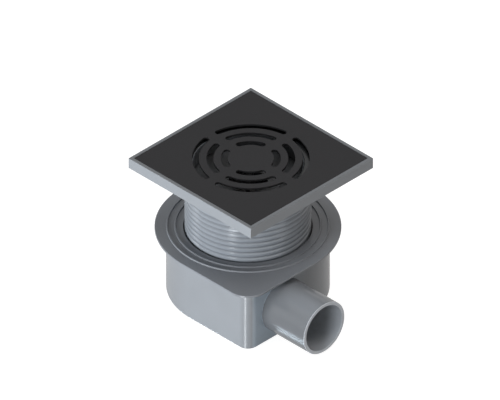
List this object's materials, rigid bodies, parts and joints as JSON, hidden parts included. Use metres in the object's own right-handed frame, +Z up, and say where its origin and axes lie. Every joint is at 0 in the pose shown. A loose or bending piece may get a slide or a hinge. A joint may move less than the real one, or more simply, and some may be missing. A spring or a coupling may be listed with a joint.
{
  "type": "gully trap",
  "caption": "Floor gully with a round pot, side outlet spigot, sealing flange, ribbed riser that slides for height, removable water trap and a square cover frame with a slotted grate.",
  "frame": {"origin": "on the riser's axis, on the plane that the pot stands on", "axes": "+Z up along the riser, +X the way the outlet spigot points, the pot's square corner between +X and -Y"},
  "size_m": [0.2035, 0.162, 0.1346],
  "materials": {
    "grey_plastic": "moulded, semi-gloss",
    "insert_plastic": "moulded, semi-gloss",
    "dark_plastic": "moulded, matt",
    "black_rubber": "matt",
    "anthracite_coating": "fine matt coating on steel sheet"
  },
  "bodies": {
    "pot_body": {"pot": "grey_plastic", "flange_cover": "grey_plastic", "neck_seal": "black_rubber", "seal_retainer": "dark_plastic"},
    "riser_body": {"riser": "grey_plastic", "trap_funnel": "insert_plastic", "funnel_seal": "black_rubber", "trap_cup": "insert_plastic", "hair_strainer": "dark_plastic"},
    "frame_body": {"cover_frame": "grey_plastic", "collar_seal": "black_rubber", "grate": "anthracite_coating", "grate_pad_1": "black_rubber", "grate_pad_2": "black_rubber", "grate_pad_3": "black_rubber", "grate_pad_4": "black_rubber"}
  },
  "joints": [
    {"name": "height_slide", "type": "slide", "parent": "pot_body", "child": "riser_body", "axis": [0, 0, 1], "range_m": [-0.032, 0.008]},
    {"name": "frame_turn", "type": "hinge", "parent": "riser_body", "child": "frame_body", "pos_m": [0, 0, 0.121], "axis": [0, 0, 1], "continuous": true}
  ]
}
